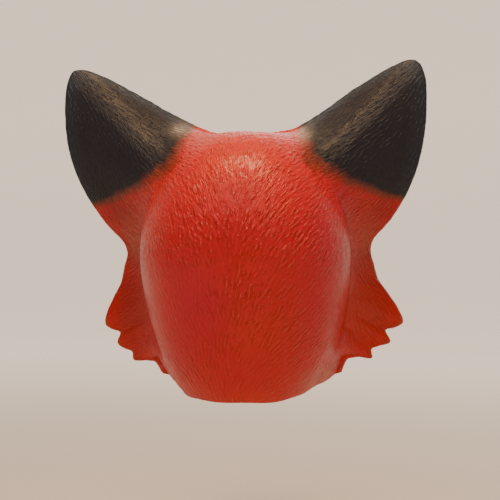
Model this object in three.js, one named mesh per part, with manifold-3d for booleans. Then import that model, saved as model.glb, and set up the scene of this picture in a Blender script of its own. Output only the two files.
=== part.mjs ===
// A latex fox mask: one hollow skin that is drawn over the whole head.
// Frame: +Z up, the face looks along -Y and +X is the wearer's left. The origin is the inside
// top of the crown, where the mask sits on the head. Lengths are millimetres.
//
// The skin is a surface round a line that runs from the nape to the nose. A point on it has a
// turn, the angle from straight up, and a place y along the line. Its radius is the head's own
// section, plus a ring that stands up as the ears and the cheek ruffs, plus the face's relief.
import * as THREE from "three";
import { mergeVertices } from "three/addons/utils/BufferGeometryUtils.js";
import Module from "manifold-3d";

// Skin and head.
const WALL = 2.5;
const CROWN_RISE = 113.5; // the head's middle line up to the inside of the crown
const SKULL_HALF_WIDTH = 97;
const THROAT_DROP = 170; // the middle line down to where the head would close without a neck
const NAPE_REACH = 105; // the middle back to the nape
const NOSE_REACH = 203; // the middle forward to the nose tip
const NAPE_ROUNDNESS = 2.2;
const NOSE_CAP = 14; // the rounded end of the nose
const NOSE_WALL = 5;

// Ears and ruffs.
const EAR_REACH = 136; // how far an ear's tip stands off the head
const RUFF_REACH = 58.5; // how far a ruff's longest tuft stands off the head
const RIM = 6; // half the thickness of a ruff at its edge
const SPREAD = 60; // how far a ruff runs forward over the cheek

// Neck hem.
const HEM_NAPE_DROP = 240;
const HEM_THROAT_DROP = 228;
const HEM_SIDE_RISE = 6;
const HEM_NAPE_Y = 68;
const HEM_THROAT_Y = -88;
const TEAR_WIDTH = 12;
const TEAR_HEIGHT = 5;
const TEAR_Y = 12;

// Eyes and nostrils.
const EYE_SPACING = 76;
const EYE_DROP = 104;
const EYE_WIDTH = 38;
const EYE_HEIGHT = 20;
const EYE_TILT = 16; // degrees, the outer corner higher
const NOSTRIL_SPACING = 17;
const NOSTRIL_DROP = 141;
const NOSTRIL_RADIUS = 3.6;
const NOSTRIL_DEPTH = 16;

// The mouth's groove, which doesn't open.
const MOUTH_DEPTH = 3;
const MOUTH_HALF_WIDTH = 4;
const MOUTH_FRONT = { y: -196, drop: 160 };
const MOUTH_CORNER = { y: -122, drop: 182 };

// The head's sections from the nape to the nose. reach is how far forward, a share of NOSE_REACH,
// and sink, how far the section's centre lies under the middle line, one of CROWN_RISE. width,
// rise and fall are shares of SKULL_HALF_WIDTH, CROWN_RISE + WALL and THROAT_DROP. square and
// jowl are the exponents of the outline above and below: 2 is an ellipse and more is squarer.
const SECTIONS = [
  { reach: -0.52, sink: 0.0, width: 1.0, rise: 1.0, fall: 1.02, square: 2.1, jowl: 1.75 },
  { reach: -0.15, sink: 0.0, width: 1.0, rise: 1.0, fall: 1.0, square: 2.1, jowl: 1.75 },
  { reach: 0.0, sink: 0.0, width: 1.0, rise: 1.0, fall: 1.0, square: 2.1, jowl: 1.9 },
  { reach: 0.16, sink: 0.0, width: 1.0, rise: 0.98, fall: 0.98, square: 2.1, jowl: 2.1 },
  { reach: 0.32, sink: 0.01, width: 0.93, rise: 0.87, fall: 0.8, square: 2.1, jowl: 2.1 },
  { reach: 0.44, sink: 0.07, width: 0.78, rise: 0.63, fall: 0.62, square: 2.1, jowl: 2.1 },
  { reach: 0.54, sink: 0.16, width: 0.59, rise: 0.41, fall: 0.47, square: 2.1, jowl: 2.1 },
  { reach: 0.66, sink: 0.23, width: 0.43, rise: 0.26, fall: 0.35, square: 2.2, jowl: 2.2 },
  { reach: 0.81, sink: 0.25, width: 0.31, rise: 0.18, fall: 0.27, square: 2.4, jowl: 2.3 },
  { reach: 0.92, sink: 0.25, width: 0.24, rise: 0.14, fall: 0.21, square: 2.4, jowl: 2.3 },
  { reach: 1.0, sink: 0.24, width: 0.17, rise: 0.12, fall: 0.14, square: 2.2, jowl: 2.0 },
];

// The ring that stands up off the head, by its turn in degrees. ear and ruff are shares of
// EAR_REACH and RUFF_REACH, and lean is the share by which the wearer's left stands further out
// than the right. place is how far forward the crest lies, a share of NOSE_REACH. rim is a share
// of RIM, back and front are shares of SPREAD, and hollow is the exponent of the front slope.
const RING = [
  { turn: 0, ear: 0, ruff: 0, lean: 0, place: 0.14, rim: 0.6, back: 1.6, front: 0.45, hollow: 2 },
  { turn: 12, ear: 0.025, ruff: 0, lean: 0, place: 0.14, rim: 0.6, back: 1.6, front: 0.45, hollow: 2.2 },
  { turn: 20, ear: 0.13, ruff: 0, lean: 0.1, place: 0.15, rim: 0.6, back: 1.55, front: 0.45, hollow: 2.5 },
  { turn: 27, ear: 0.31, ruff: 0, lean: 0.05, place: 0.15, rim: 0.55, back: 1.4, front: 0.45, hollow: 3 },
  { turn: 34, ear: 0.615, ruff: 0, lean: 0, place: 0.12, rim: 0.5, back: 1.2, front: 0.42, hollow: 3.2 },
  { turn: 39, ear: 0.895, ruff: 0, lean: 0, place: 0.08, rim: 0.5, back: 1.05, front: 0.4, hollow: 3.2 },
  { turn: 40.5, ear: 0.965, ruff: 0, lean: 0, place: 0.07, rim: 0.5, back: 1, front: 0.4, hollow: 3.2 },
  { turn: 42.5, ear: 1, ruff: 0, lean: 0.01, place: 0.06, rim: 0.5, back: 0.96, front: 0.4, hollow: 3.2 },
  { turn: 45, ear: 0.975, ruff: 0, lean: 0.01, place: 0.05, rim: 0.5, back: 0.93, front: 0.4, hollow: 3.2 },
  { turn: 52, ear: 0.835, ruff: 0, lean: 0.02, place: 0.05, rim: 0.5, back: 0.86, front: 0.4, hollow: 3.2 },
  { turn: 60, ear: 0.66, ruff: 0.03, lean: 0.03, place: 0.07, rim: 0.5, back: 0.75, front: 0.42, hollow: 3.2 },
  { turn: 68, ear: 0.475, ruff: 0.07, lean: 0.03, place: 0.11, rim: 0.55, back: 0.64, front: 0.45, hollow: 3 },
  { turn: 76, ear: 0.26, ruff: 0.18, lean: 0.04, place: 0.16, rim: 0.65, back: 0.57, front: 0.55, hollow: 2.4 },
  { turn: 84, ear: 0.07, ruff: 0.27, lean: 0.08, place: 0.2, rim: 0.8, back: 0.55, front: 0.7, hollow: 1.9 },
  { turn: 92, ear: 0, ruff: 0.44, lean: 0.1, place: 0.22, rim: 0.9, back: 0.55, front: 0.9, hollow: 1.6 },
  { turn: 100, ear: 0, ruff: 0.53, lean: 0.08, place: 0.22, rim: 1, back: 0.55, front: 1, hollow: 1.5 },
  { turn: 106, ear: 0, ruff: 0.73, lean: 0.03, place: 0.22, rim: 1, back: 0.52, front: 1, hollow: 1.5 },
  { turn: 110.5, ear: 0, ruff: 0.91, lean: 0, place: 0.22, rim: 0.9, back: 0.5, front: 1, hollow: 1.5 },
  { turn: 114, ear: 0, ruff: 1, lean: -0.02, place: 0.22, rim: 0.9, back: 0.5, front: 1, hollow: 1.6 },
  { turn: 117.5, ear: 0, ruff: 0.87, lean: -0.01, place: 0.22, rim: 0.8, back: 0.5, front: 1, hollow: 1.5 },
  { turn: 119.3, ear: 0, ruff: 0.765, lean: 0, place: 0.22, rim: 0.8, back: 0.5, front: 1, hollow: 1.5 },
  { turn: 122, ear: 0, ruff: 0.885, lean: -0.02, place: 0.22, rim: 0.9, back: 0.5, front: 1, hollow: 1.6 },
  { turn: 126, ear: 0, ruff: 0.74, lean: 0.02, place: 0.22, rim: 0.8, back: 0.55, front: 0.95, hollow: 1.5 },
  { turn: 128.3, ear: 0, ruff: 0.64, lean: 0.02, place: 0.21, rim: 0.8, back: 0.6, front: 0.92, hollow: 1.6 },
  { turn: 130.3, ear: 0, ruff: 0.69, lean: 0, place: 0.21, rim: 0.9, back: 0.65, front: 0.9, hollow: 1.6 },
  { turn: 134, ear: 0, ruff: 0.45, lean: 0.06, place: 0.2, rim: 0.9, back: 0.8, front: 0.8, hollow: 1.7 },
  { turn: 138, ear: 0, ruff: 0.26, lean: 0.05, place: 0.18, rim: 1, back: 0.95, front: 0.7, hollow: 1.8 },
  { turn: 144, ear: 0, ruff: 0.23, lean: -0.08, place: 0.16, rim: 1, back: 1.1, front: 0.6, hollow: 2 },
  { turn: 149, ear: 0, ruff: 0.19, lean: -0.3, place: 0.15, rim: 1, back: 1.2, front: 0.6, hollow: 2 },
  { turn: 156, ear: 0, ruff: 0.06, lean: -0.5, place: 0.15, rim: 1, back: 1.2, front: 0.6, hollow: 2 },
  { turn: 168, ear: 0, ruff: 0, lean: 0, place: 0.15, rim: 1, back: 1.2, front: 0.6, hollow: 2 },
  { turn: 180, ear: 0, ruff: 0, lean: 0, place: 0.15, rim: 1, back: 1.2, front: 0.6, hollow: 2 },
];

// Swellings and hollows of the face, alike on both sides. x is a share of SKULL_HALF_WIDTH, y of
// NOSE_REACH forward and drop of CROWN_RISE. wide, deep and tall are the same shares, of the
// bump's spread, and rise is a share of RIM, a hollow being below zero.
const RELIEF = [
  { name: "brow", x: 0.4, y: 0.44, drop: 0.66, wide: 0.28, deep: 0.14, tall: 0.1, rise: 0.9 },
  { name: "eye socket", x: 0.42, y: 0.53, drop: 0.92, wide: 0.22, deep: 0.12, tall: 0.12, rise: -1.1 },
  { name: "cheek bone", x: 0.62, y: 0.42, drop: 1.28, wide: 0.3, deep: 0.16, tall: 0.2, rise: 0.8 },
  { name: "whisker pad", x: 0.24, y: 0.86, drop: 1.3, wide: 0.18, deep: 0.11, tall: 0.11, rise: 0.8 },
  { name: "nose pad", x: 0.0, y: 0.97, drop: 1.17, wide: 0.2, deep: 0.06, tall: 0.1, rise: 0.7 },
];

// How finely the skin is divided: the widest turn between columns, the rows over the nape, the
// heights of those on the ring's slopes, and the rows over the face and the nose.
const GRAIN = { widest: 8.1, nape: 8, slope: [0.82, 0.6, 0.38, 0.18, 0.05], face: 12, nose: 2 };
const BACK_HOLLOW = 2;

const RADIANS = Math.PI / 180;

// A smooth curve through points that never runs past them: the slope at a point is the harmonic
// mean of its neighbours' slopes, or level where they turn.
function curveThrough(places, values) {
  const last = places.length - 1;
  const rise = values.slice(1).map((v, i) => (v - values[i]) / (places[i + 1] - places[i]));
  const slope = values.map((v, i) => {
    if (i === 0 || i === last) return 0;
    return rise[i - 1] * rise[i] <= 0 ? 0 : (2 * rise[i - 1] * rise[i]) / (rise[i - 1] + rise[i]);
  });
  return (place) => {
    const at = Math.min(Math.max(place, places[0]), places[last]);
    let i = 0;
    while (i < last - 1 && at > places[i + 1]) i += 1;
    const length = places[i + 1] - places[i];
    const t = (at - places[i]) / length;
    const ease = t * t * (3 - 2 * t);
    const leave = t * (1 - t) * (1 - t) * length;
    const arrive = t * t * (1 - t) * length;
    return values[i] * (1 - ease) + values[i + 1] * ease + slope[i] * leave - slope[i + 1] * arrive;
  };
}

// One curve for each column of a table, over its first column.
function columnsOf(table, first) {
  const places = table.map((row) => row[first]);
  const names = Object.keys(table[0]).filter((name) => name !== first);
  const curveOf = (name) => curveThrough(places, table.map((row) => row[name]));
  return Object.fromEntries(names.map((name) => [name, curveOf(name)]));
}

const section = columnsOf(SECTIONS, "reach");
const ring = columnsOf(RING, "turn");

// The height of the centre line at a place along it.
function centreHeight(y) {
  return -CROWN_RISE * (1 + section.sink(-y / NOSE_REACH));
}

// The radius of the bare head: rounded sections, closed at the nape and at the nose.
function headRadius(turn, y) {
  const reach = -y / NOSE_REACH;
  const across = Math.abs(Math.sin(turn * RADIANS)) / (SKULL_HALF_WIDTH * section.width(reach));
  const up = Math.cos(turn * RADIANS);
  const height = up > 0 ? (CROWN_RISE + WALL) * section.rise(reach) : THROAT_DROP * section.fall(reach);
  const square = up > 0 ? section.square(reach) : section.jowl(reach);
  const open = (across ** square + (Math.abs(up) / height) ** square) ** (-1 / square);
  const back = Math.min(Math.max(y, 0) / NAPE_REACH, 1);
  const front = Math.min(Math.max(NOSE_CAP - NOSE_REACH - y, 0) / NOSE_CAP, 1);
  return open * (1 - back ** NAPE_ROUNDNESS) ** (1 / NAPE_ROUNDNESS) * Math.sqrt(1 - front ** 2);
}

// The crest of the ring at a turn: where it lies, how far it stands off, and how it falls away.
function crestAt(turn) {
  const angle = Math.abs(turn);
  const stand = EAR_REACH * ring.ear(angle) + RUFF_REACH * ring.ruff(angle);
  const side = 1 + Math.sign(turn) * ring.lean(angle);
  return {
    y: -NOSE_REACH * ring.place(angle),
    stand: stand * side,
    rim: RIM * ring.rim(angle),
    back: SPREAD * ring.back(angle),
    front: SPREAD * ring.front(angle),
    hollow: ring.hollow(angle),
  };
}

// How high the ring stands at a place beside its crest: a round rim, then a slope that runs out.
function ringHeight(crest, y) {
  const rim = Math.min(crest.rim, crest.stand / 2);
  const away = Math.abs(y - crest.y);
  if (crest.stand <= 0) return 0;
  if (away <= crest.rim) return crest.stand - rim + rim * Math.sqrt(1 - (away / crest.rim) ** 2);
  const spread = y > crest.y ? crest.back : crest.front;
  const power = y > crest.y ? BACK_HOLLOW : crest.hollow;
  const left = 1 - (away - crest.rim) / (spread - crest.rim);
  return left > 0 ? (crest.stand - rim) * left ** power : 0;
}

// The face's relief at a point of the bare skin.
function reliefHeight(x, y, z) {
  let rise = 0;
  for (const bump of RELIEF) {
    const side = (Math.abs(x) / SKULL_HALF_WIDTH - bump.x) / bump.wide;
    const ahead = (-y / NOSE_REACH - bump.y) / bump.deep;
    const down = (-z / CROWN_RISE - bump.drop) / bump.tall;
    rise += RIM * bump.rise * Math.exp(-side * side - ahead * ahead - down * down);
  }
  const along = THREE.MathUtils.clamp((y - MOUTH_FRONT.y) / (MOUTH_CORNER.y - MOUTH_FRONT.y), 0, 1);
  const line = MOUTH_FRONT.drop + (MOUTH_CORNER.drop - MOUTH_FRONT.drop) * along ** 2;
  const ended = Math.max(y - MOUTH_CORNER.y, 0) / MOUTH_HALF_WIDTH;
  const beside = (-z - line) / MOUTH_HALF_WIDTH;
  return rise - MOUTH_DEPTH * Math.exp(-beside * beside - ended * ended);
}

// The radius of the outside.
function outsideRadius(turn, y) {
  const bare = headRadius(turn, y);
  const x = bare * Math.sin(turn * RADIANS);
  const z = centreHeight(y) + bare * Math.cos(turn * RADIANS);
  const lift = Math.min(1, bare / (2 * RIM));
  return bare + ringHeight(crestAt(turn), y) + lift * reliefHeight(x, y, z);
}

// The radius of the inside, a wall's thickness within: the lowest of the balls of that radius
// that hang from the outside round about.
function insideRadius(turn, y) {
  let lowest = outsideRadius(turn, y) - WALL;
  for (const share of [0.5, 0.8, 1]) {
    const drop = WALL * Math.sqrt(1 - share * share);
    for (let k = 0; k < 8; k += 1) {
      const ahead = share * WALL * Math.sin((k * Math.PI) / 4);
      const aside = (share * WALL * Math.cos((k * Math.PI) / 4)) / Math.max(lowest, RIM) / RADIANS;
      lowest = Math.min(lowest, outsideRadius(turn + aside, y + ahead) - drop);
    }
  }
  return Math.max(lowest, WALL / 5);
}

// The columns' turns all the way round, so that every row of the ring's table has one.
function columnTurns() {
  const half = RING.slice(1).flatMap((row, i) => {
    const from = RING[i].turn;
    const count = Math.ceil((row.turn - from) / GRAIN.widest);
    return Array.from({ length: count }, (_, k) => from + ((row.turn - from) * (k + 1)) / count);
  });
  return [0, ...half, ...half.slice(0, -1).reverse().map((turn) => -turn)];
}

// The rows' places at a turn, from the nape to the nose. They follow the crest of the ring, so
// that its rim and its slopes are as fine at every turn. inset brings them in by a wall.
function rowPlaces(turn, inset) {
  const crest = crestAt(turn);
  const rim = Math.max(crest.rim - inset, crest.rim / 4);
  const away = (spread, power) =>
    GRAIN.slope.map((level) => rim + (spread - crest.rim) * (1 - level ** (1 / power)));
  const backFoot = crest.y + crest.back;
  const frontFoot = crest.y - crest.front;
  const nape = NAPE_REACH - inset;
  const nose = -NOSE_REACH + (inset > 0 ? NOSE_WALL : 0);
  const noseStart = NOSE_CAP - NOSE_REACH;
  const eased = (count, from, to, ease) =>
    Array.from({ length: count }, (_, k) => from + (to - from) * ease((k + 1) / (count + 1)));
  return [
    nape,
    ...eased(GRAIN.nape, nape, backFoot, (t) => 1 - Math.cos((t * Math.PI) / 2)),
    backFoot,
    ...away(crest.back, BACK_HOLLOW).reverse().map((d) => crest.y + d),
    crest.y + rim,
    crest.y,
    crest.y - rim,
    ...away(crest.front, crest.hollow).map((d) => crest.y - d),
    frontFoot,
    ...eased(GRAIN.face, frontFoot, noseStart, (t) => t),
    noseStart,
    ...eased(GRAIN.nose, noseStart, nose, (t) => Math.sin((t * Math.PI) / 2)),
    nose,
  ];
}

// A closed skin with a pole at the nape and one at the nose.
function skinGeometry(radius, inset) {
  const turns = columnTurns();
  const columns = turns.map((turn) => rowPlaces(turn, inset));
  const rows = columns[0].length;
  const positions = [0, columns[0][0], centreHeight(columns[0][0])];
  for (let row = 1; row < rows - 1; row += 1) {
    turns.forEach((turn, c) => {
      const y = columns[c][row];
      const r = radius(turn, y);
      positions.push(r * Math.sin(turn * RADIANS), y, centreHeight(y) + r * Math.cos(turn * RADIANS));
    });
  }
  positions.push(0, columns[0][rows - 1], centreHeight(columns[0][rows - 1]));
  const count = turns.length;
  const at = (row, c) => 1 + (row - 1) * count + (c % count);
  const lastPoint = positions.length / 3 - 1;
  const faces = [];
  for (let c = 0; c < count; c += 1) {
    faces.push(0, at(1, c), at(1, c + 1));
    faces.push(lastPoint, at(rows - 2, c + 1), at(rows - 2, c));
    for (let row = 1; row < rows - 2; row += 1) {
      faces.push(at(row, c), at(row + 1, c), at(row + 1, c + 1));
      faces.push(at(row, c), at(row + 1, c + 1), at(row, c + 1));
    }
  }
  const geometry = new THREE.BufferGeometry();
  geometry.setAttribute("position", new THREE.Float32BufferAttribute(positions, 3));
  geometry.setIndex(faces);
  return geometry;
}

// The hem's height under a point: lower at the nape than at the throat, a little up at the
// sides, with a small torn corner on the wearer's left.
function hemHeight(x, y) {
  const ahead = THREE.MathUtils.smoothstep(HEM_NAPE_Y - y, 0, HEM_NAPE_Y - HEM_THROAT_Y);
  const drop = HEM_NAPE_DROP + (HEM_THROAT_DROP - HEM_NAPE_DROP) * ahead;
  const side = HEM_SIDE_RISE * (x / SKULL_HALF_WIDTH) ** 2;
  const tear = x > 0 ? TEAR_HEIGHT * Math.exp(-(((y - TEAR_Y) / TEAR_WIDTH) ** 2)) : 0;
  return -drop + side + tear;
}

// What the hem cuts away: a block whose top follows the hem.
function hemTool() {
  const width = 4 * SKULL_HALF_WIDTH;
  const length = 2 * (HEM_NAPE_Y - HEM_THROAT_Y);
  const depth = THROAT_DROP;
  const tool = new THREE.BoxGeometry(width, length, depth, 24, 36, 1);
  const points = tool.getAttribute("position");
  for (let i = 0; i < points.count; i += 1) {
    const y = points.getY(i) + (HEM_NAPE_Y + HEM_THROAT_Y) / 2;
    const top = points.getZ(i) > 0;
    points.setXYZ(i, points.getX(i), y, top ? hemHeight(points.getX(i), y) : -HEM_NAPE_DROP - depth);
  }
  return tool;
}

// An almond eye opening, cut straight along the line of sight.
function eyeTool(side) {
  const half = EYE_WIDTH / 2;
  const almond = new THREE.Shape();
  almond.moveTo(-half, 0);
  almond.quadraticCurveTo(0, EYE_HEIGHT, half, 0);
  almond.quadraticCurveTo(0, -EYE_HEIGHT, -half, 0);
  const settings = { depth: NOSE_REACH, bevelEnabled: false, curveSegments: 8 };
  const tool = new THREE.ExtrudeGeometry(almond, settings);
  tool.rotateX(Math.PI / 2);
  tool.rotateY(-side * EYE_TILT * RADIANS);
  return tool.translate((side * EYE_SPACING) / 2, 0, -EYE_DROP);
}

// A nostril's hole, run in from the front of the nose.
function nostrilTool(side) {
  const tool = new THREE.CylinderGeometry(NOSTRIL_RADIUS, NOSTRIL_RADIUS, 2 * NOSTRIL_DEPTH, 12);
  return tool.translate((side * NOSTRIL_SPACING) / 2, -NOSE_REACH, -NOSTRIL_DROP);
}

const wasm = await Module();
wasm.setup();

// A closed geometry as a solid that can be joined and cut.
function solidOf(geometry) {
  const bare = new THREE.BufferGeometry();
  bare.setAttribute("position", geometry.getAttribute("position"));
  bare.setIndex(geometry.getIndex());
  const merged = mergeVertices(bare, 1e-4);
  const vertProperties = new Float32Array(merged.getAttribute("position").array);
  const triVerts = new Uint32Array(merged.getIndex().array);
  return new wasm.Manifold(new wasm.Mesh({ numProp: 3, vertProperties, triVerts }));
}

// A solid's surface as a geometry.
function geometryOf(solid) {
  const mesh = solid.getMesh();
  const geometry = new THREE.BufferGeometry();
  geometry.setAttribute("position", new THREE.BufferAttribute(mesh.vertProperties, 3));
  geometry.setIndex(new THREE.BufferAttribute(mesh.triVerts, 1));
  geometry.computeVertexNormals();
  return geometry;
}

// The skin: the outside less the inside, the neck's opening, the eyes and the nostrils.
function latexSkin() {
  const hollow = solidOf(skinGeometry(insideRadius, WALL));
  let skin = solidOf(skinGeometry(outsideRadius, 0)).subtract(hollow);
  for (const tool of [hemTool(), eyeTool(1), eyeTool(-1), nostrilTool(1), nostrilTool(-1)]) {
    skin = skin.subtract(solidOf(tool));
  }
  const latex = new THREE.MeshStandardMaterial({ color: 0xb5402c, roughness: 0.42, metalness: 0 });
  const mesh = new THREE.Mesh(geometryOf(skin), latex);
  mesh.name = "latex_skin";
  return mesh;
}

const mask = new THREE.Group();
mask.add(latexSkin());

export default mask;
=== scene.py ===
# %% [markdown]
# # A latex mask that is drawn over the whole head
# The real mask is one skin of rubber latex, cast in a mould. The mould's maker combed short
# fur strokes into the clay, and the casting was painted: red all over, slate on the backs of
# the ears, cream on the cheeks. This lesson builds the skin as one surface, combs it, cuts its
# openings, paints it and lights it. The camera looks at the back of it, as the photograph does.

# %% Load the frame
import math
import bmesh
import bpy
import numpy as np
from mathutils import Matrix, Vector


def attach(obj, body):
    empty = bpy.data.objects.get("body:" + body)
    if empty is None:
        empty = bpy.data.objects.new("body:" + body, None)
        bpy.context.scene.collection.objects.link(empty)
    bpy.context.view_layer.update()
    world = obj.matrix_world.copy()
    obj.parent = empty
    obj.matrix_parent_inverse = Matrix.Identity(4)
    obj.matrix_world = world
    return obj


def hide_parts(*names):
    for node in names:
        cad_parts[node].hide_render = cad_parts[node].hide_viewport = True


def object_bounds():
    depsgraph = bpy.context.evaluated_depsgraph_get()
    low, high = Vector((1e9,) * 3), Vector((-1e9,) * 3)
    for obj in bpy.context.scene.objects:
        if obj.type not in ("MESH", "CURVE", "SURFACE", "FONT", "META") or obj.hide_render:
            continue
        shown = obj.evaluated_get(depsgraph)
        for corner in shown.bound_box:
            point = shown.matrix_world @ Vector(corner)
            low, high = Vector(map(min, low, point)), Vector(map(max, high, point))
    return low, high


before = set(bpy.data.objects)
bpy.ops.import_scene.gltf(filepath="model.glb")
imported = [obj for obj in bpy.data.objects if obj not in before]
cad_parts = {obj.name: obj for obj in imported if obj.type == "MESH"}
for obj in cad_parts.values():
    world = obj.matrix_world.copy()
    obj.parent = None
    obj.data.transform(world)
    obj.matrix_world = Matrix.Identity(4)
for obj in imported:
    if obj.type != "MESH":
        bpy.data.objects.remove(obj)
cad_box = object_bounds()
print("CAD box, mm:", [[round(1000 * v, 1) for v in corner] for corner in cad_box])

# %% [markdown]
# ## The sizes
# The skin goes round a line that runs from the nape to the nose. Every point has a turn, the
# angle from straight up, and a place y along the line. Working in millimetres keeps the numbers
# easy to read; they are turned into metres only when a mesh is made.

# %% Named sizes, in millimetres
MM = 0.001
WALL = 2.5
CROWN_RISE = 113.5
SKULL_HALF_WIDTH = 97.0
THROAT_DROP = 170.0
NAPE_REACH = 105.0
NOSE_REACH = 203.0
NAPE_ROUNDNESS = 2.2
NOSE_CAP = 14.0
NOSE_WALL = 5.0
EAR_REACH = 136.0
RUFF_REACH = 58.5
RIM = 6.0
SPREAD = 60.0
BACK_HOLLOW = 2.0

# %% Sections of the head, from the nape to the nose
SECTION_NAMES = ("reach", "sink", "width", "rise", "fall", "square", "jowl")
SECTIONS = np.array([
    (-0.52, 0, 1, 1, 1.02, 2.1, 1.75),
    (-0.15, 0, 1, 1, 1, 2.1, 1.75),
    (0, 0, 1, 1, 1, 2.1, 1.9),
    (0.16, 0, 1, 0.98, 0.98, 2.1, 2.1),
    (0.32, 0.01, 0.93, 0.87, 0.8, 2.1, 2.1),
    (0.44, 0.07, 0.78, 0.63, 0.62, 2.1, 2.1),
    (0.54, 0.16, 0.59, 0.41, 0.47, 2.1, 2.1),
    (0.66, 0.23, 0.43, 0.26, 0.35, 2.2, 2.2),
    (0.81, 0.25, 0.31, 0.18, 0.27, 2.4, 2.3),
    (0.92, 0.25, 0.24, 0.14, 0.21, 2.4, 2.3),
    (1, 0.24, 0.17, 0.12, 0.14, 2.2, 2),
])
print("sections:", len(SECTIONS))

# %% The ring that stands up as the ears and the cheek ruffs, by its turn
RING_NAMES = ("turn", "ear", "ruff", "lean", "place", "rim", "back", "front", "hollow")
RING = np.array([
    (0, 0, 0, 0, 0.14, 0.6, 1.6, 0.45, 2),
    (12, 0.055, 0, 0, 0.14, 0.6, 1.6, 0.45, 2.2),
    (20, 0.142, 0, 0.1, 0.15, 0.6, 1.55, 0.45, 2.5),
    (27, 0.31, 0, 0.05, 0.15, 0.55, 1.4, 0.45, 3),
    (34, 0.615, 0, 0, 0.12, 0.5, 1.2, 0.42, 3.2),
    (39, 0.895, 0, 0, 0.08, 0.5, 1.05, 0.4, 3.2),
    (40.5, 0.965, 0, 0, 0.07, 0.5, 1, 0.4, 3.2),
    (42.5, 1, 0, 0.01, 0.06, 0.5, 0.96, 0.4, 3.2),
    (45, 0.975, 0, 0.01, 0.05, 0.5, 0.93, 0.4, 3.2),
    (52, 0.835, 0, 0.02, 0.05, 0.5, 0.86, 0.4, 3.2),
    (60, 0.66, 0.03, 0.03, 0.07, 0.5, 0.75, 0.42, 3.2),
    (68, 0.475, 0.07, 0.03, 0.11, 0.55, 0.64, 0.45, 3),
    (76, 0.26, 0.18, 0.04, 0.16, 0.65, 0.57, 0.55, 2.4),
    (84, 0.07, 0.27, 0.08, 0.2, 0.8, 0.55, 0.7, 1.9),
    (92, 0, 0.44, 0.1, 0.22, 0.9, 0.55, 0.9, 1.6),
    (100, 0, 0.53, 0.08, 0.22, 1, 0.55, 1, 1.5),
    (106, 0, 0.73, 0.03, 0.22, 1, 0.52, 1, 1.5),
    (110.5, 0, 0.91, 0, 0.22, 0.9, 0.5, 1, 1.5),
    (114, 0, 1, -0.02, 0.22, 0.9, 0.5, 1, 1.6),
    (117.5, 0, 0.87, -0.01, 0.22, 0.8, 0.5, 1, 1.5),
    (119.3, 0, 0.765, 0, 0.22, 0.8, 0.5, 1, 1.5),
    (122, 0, 0.885, -0.02, 0.22, 0.9, 0.5, 1, 1.6),
    (126, 0, 0.74, 0.02, 0.22, 0.8, 0.55, 0.95, 1.5),
    (128.3, 0, 0.64, 0.02, 0.21, 0.8, 0.6, 0.92, 1.6),
    (130.3, 0, 0.69, 0, 0.21, 0.9, 0.65, 0.9, 1.6),
    (134, 0, 0.45, 0.06, 0.2, 0.9, 0.8, 0.8, 1.7),
    (138, 0, 0.26, 0.05, 0.18, 1, 0.95, 0.7, 1.8),
    (144, 0, 0.23, -0.08, 0.16, 1, 1.1, 0.6, 2),
    (149, 0, 0.19, -0.3, 0.15, 1, 1.2, 0.6, 2),
    (156, 0, 0.06, -0.5, 0.15, 1, 1.2, 0.6, 2),
    (168, 0, 0, 0, 0.15, 1, 1.2, 0.6, 2),
    (180, 0, 0, 0, 0.15, 1, 1.2, 0.6, 2),
])
print("ring rows:", len(RING))

# %% Swellings and hollows of the face: x, y, drop, wide, deep, tall, rise
RELIEF = np.array([
    (0.4, 0.44, 0.66, 0.28, 0.14, 0.1, 0.9),
    (0.42, 0.53, 0.92, 0.22, 0.12, 0.12, -1.1),
    (0.62, 0.42, 1.28, 0.3, 0.16, 0.2, 0.8),
    (0.24, 0.86, 1.3, 0.18, 0.11, 0.11, 0.8),
    (0, 0.97, 1.17, 0.2, 0.06, 0.1, 0.7),
])
MOUTH_DEPTH = 3.0
MOUTH_HALF_WIDTH = 4.0
MOUTH_FRONT_Y, MOUTH_FRONT_DROP = -196.0, 160.0
MOUTH_CORNER_Y, MOUTH_CORNER_DROP = -122.0, 182.0

# %% [markdown]
# ## The shape as a function
# A surface of two parameters is the plain way to make a closed skin: for every turn and place
# it says how far out the skin lies. The tables give the values at a few stations and a smooth
# curve joins them without running past any of them. All of it works on whole arrays at once.

# %% A smooth curve through a table's column
def curve_through(places, values, at):
    """Cubic pieces whose slope at a station is the harmonic mean of its neighbours' slopes."""
    rise = np.diff(values) / np.diff(places)
    before, after = rise[:-1], rise[1:]
    same_way = before * after > 0
    total = np.where(same_way, before + after, 1.0)
    slope = np.zeros(len(values))
    slope[1:-1] = np.where(same_way, 2 * before * after / total, 0.0)
    at = np.clip(at, places[0], places[-1])
    i = np.clip(np.searchsorted(places, at) - 1, 0, len(places) - 2)
    length = places[i + 1] - places[i]
    t = (at - places[i]) / length
    ease = t * t * (3 - 2 * t)
    leave = slope[i] * t * (1 - t) ** 2 * length
    arrive = slope[i + 1] * t * t * (1 - t) * length
    return values[i] * (1 - ease) + values[i + 1] * ease + leave - arrive


def section(name, reach):
    """A share of the head's section at a reach."""
    return curve_through(SECTIONS[:, 0], SECTIONS[:, SECTION_NAMES.index(name)], reach)


def ring(name, angle):
    """A value of the ring at an angle from straight up, alike on both sides."""
    return curve_through(RING[:, 0], RING[:, RING_NAMES.index(name)], angle)


print("share of the ear's reach at 34 degrees:", float(ring("ear", 34.0)))


# %% The bare head
def centre_height(y):
    """The height of the line that the skin goes round."""
    return -CROWN_RISE * (1 + section("sink", -y / NOSE_REACH))


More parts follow.
